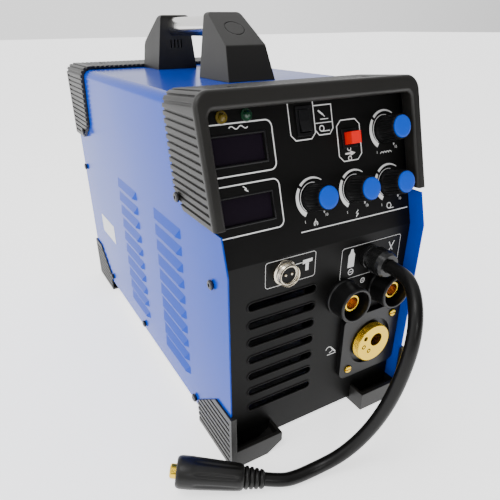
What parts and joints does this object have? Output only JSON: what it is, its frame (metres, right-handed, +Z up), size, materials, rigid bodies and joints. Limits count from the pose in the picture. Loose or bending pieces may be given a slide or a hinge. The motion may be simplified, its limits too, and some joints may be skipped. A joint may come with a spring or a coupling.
{
  "type": "mig welding machine",
  "caption": "Portable wire-feed welding machine: louvred sheet case with ribbed end hoods and feet, tube handle, control panel, current sockets, torch connector and plugged cable.",
  "frame": {"origin": "bottom centre of the machine on the floor, measured without the free cable and its plug", "axes": "+X to the machine's right as seen from the front, +Y from the control panel to the rear, +Z up"},
  "size_m": [0.2726, 0.5391, 0.374],
  "materials": {
    "blue_paint": "gloss",
    "black_sheet": "satin",
    "zinc_sheet": "satin",
    "hood_plastic": "matte",
    "foot_plastic": "matte",
    "steel_tube": "brushed",
    "screw_steel": "satin",
    "knob_black": "satin",
    "cap_blue": "gloss",
    "pot_metal": "satin",
    "switch_black": "satin",
    "button_red": "gloss",
    "lens_dark": "gloss",
    "led_yellow": "gloss",
    "led_green": "gloss",
    "board_green": "satin",
    "socket_black": "satin",
    "brass": "satin",
    "nickel": "satin",
    "insert_black": "satin",
    "gland_black": "satin",
    "cable_rubber": "matte",
    "plug_rubber": "matte",
    "fan_black": "matte",
    "spool_plastic": "satin",
    "feeder_metal": "satin",
    "roll_steel": "satin",
    "arm_plastic": "satin",
    "power_parts": "satin",
    "iron_core": "satin",
    "latch_black": "satin"
  },
  "bodies": {
    "case": {"base_tray": "zinc_sheet", "front_panel": "black_sheet", "rear_panel": "black_sheet", "case_cover": "blue_paint", "divider_plate": "zinc_sheet", "front_hood": "hood_plastic", "rear_hood": "hood_plastic", "foot_front_left": "foot_plastic", "foot_front_right": "foot_plastic", "foot_rear_left": "foot_plastic", "foot_rear_right": "foot_plastic", "handle_post_front": "hood_plastic", "handle_post_rear": "hood_plastic", "handle_tube": "steel_tube", "case_screws": "screw_steel", "potentiometers": "pot_metal", "rocker_housing": "switch_black", "button_housing": "switch_black", "display_lenses": "lens_dark", "led_yellow": "led_yellow", "led_green": "led_green", "control_board": "board_green", "output_sockets": "socket_black", "socket_contacts": "brass", "trigger_shell": "nickel", "trigger_insert": "insert_black", "euro_plate": "socket_black", "euro_body": "brass", "euro_screws": "brass", "cable_gland": "gland_black", "polarity_cable": "cable_rubber", "plug_body": "plug_rubber", "plug_pin": "brass", "fan_frame": "fan_black", "spool_spindle": "arm_plastic", "feed_motor": "feeder_metal", "power_board": "power_parts", "transformer": "iron_core", "gas_inlet": "brass", "mains_gland": "gland_black", "power_switch": "switch_black"},
    "door": {"side_door": "blue_paint"},
    "latch_low": {"latch_lower": "latch_black"},
    "latch_high": {"latch_upper": "latch_black"},
    "mode_switch": {"mode_rocker": "switch_black"},
    "inching_button": {"wire_button": "button_red"},
    "mains_switch": {"switch_rocker": "switch_black"},
    "fan": {"fan_rotor": "fan_black"},
    "spool": {"wire_spool": "spool_plastic"},
    "feed_roll": {"drive_roll": "roll_steel"},
    "arm": {"pressure_arm": "arm_plastic"},
    "idler": {"pressure_roll": "roll_steel"},
    "dial_burnback": {"knob_burnback": "knob_black", "cap_burnback": "cap_blue"},
    "dial_voltage": {"knob_voltage": "knob_black", "cap_voltage": "cap_blue"},
    "dial_wire_speed": {"knob_wire_speed": "knob_black", "cap_wire_speed": "cap_blue"},
    "dial_inductance": {"knob_inductance": "knob_black", "cap_inductance": "cap_blue"}
  },
  "joints": [
    {"name": "burnback_turn", "type": "hinge", "parent": "case", "child": "dial_burnback", "pos_m": [-0.007, -0.20851, 0.2386], "axis": [0, -0.9578, 0.2873], "range_deg": [-145, 145]},
    {"name": "voltage_turn", "type": "hinge", "parent": "case", "child": "dial_voltage", "pos_m": [0.038, -0.20851, 0.2386], "axis": [0, -0.9578, 0.2873], "range_deg": [-145, 145]},
    {"name": "wire_speed_turn", "type": "hinge", "parent": "case", "child": "dial_wire_speed", "pos_m": [0.078, -0.20865, 0.23812], "axis": [0, -0.9578, 0.2873], "range_deg": [-145, 145]},
    {"name": "inductance_turn", "type": "hinge", "parent": "case", "child": "dial_inductance", "pos_m": [0.0775, -0.19529, 0.28266], "axis": [0, -0.9578, 0.2873], "range_deg": [-145, 145]},
    {"name": "mode_rock", "type": "hinge", "parent": "case", "child": "mode_switch", "pos_m": [-0.0078, -0.18179, 0.29427], "axis": [1, 0, 0], "range_deg": [0, 14]},
    {"name": "inching_press", "type": "slide", "parent": "case", "child": "inching_button", "axis": [0, 0.9578, -0.2873], "range_m": [0, 0.0025], "stiffness_N_per_m": 300, "springref_m": -0.002},
    {"name": "door_swing", "type": "hinge", "parent": "case", "child": "door", "pos_m": [0.1048, 0.1465, 0.155], "axis": [0, 0, 1], "range_deg": [0, 95]},
    {"name": "latch_low_turn", "type": "hinge", "parent": "door", "child": "latch_low", "pos_m": [0.103, -0.115, 0.1], "axis": [1, 0, 0], "range_deg": [0, 90]},
    {"name": "latch_high_turn", "type": "hinge", "parent": "door", "child": "latch_high", "pos_m": [0.103, -0.115, 0.245], "axis": [1, 0, 0], "range_deg": [0, 90]},
    {"name": "mains_rock", "type": "hinge", "parent": "case", "child": "mains_switch", "pos_m": [0.062, 0.2135, 0.205], "axis": [1, 0, 0], "range_deg": [0, 16]},
    {"name": "fan_spin", "type": "hinge", "parent": "case", "child": "fan", "pos_m": [-0.041, 0.199, 0.15], "axis": [0, 1, 0], "continuous": true},
    {"name": "spool_spin", "type": "hinge", "parent": "case", "child": "spool", "pos_m": [0.055, 0.04, 0.165], "axis": [1, 0, 0], "continuous": true},
    {"name": "roll_spin", "type": "hinge", "parent": "case", "child": "feed_roll", "pos_m": [0.0645, -0.108, 0.06095], "axis": [1, 0, 0], "continuous": true},
    {"name": "arm_lift", "type": "hinge", "parent": "case", "child": "arm", "pos_m": [0.05, -0.076, 0.104], "axis": [-1, 0, 0], "range_deg": [0, 45]},
    {"name": "idler_spin", "type": "hinge", "parent": "arm", "child": "idler", "pos_m": [0.0645, -0.108, 0.09245], "axis": [1, 0, 0], "continuous": true}
  ],
  "couplings": [
    {"joint": "idler_spin", "follows": "roll_spin", "ratio": -1}
  ]
}
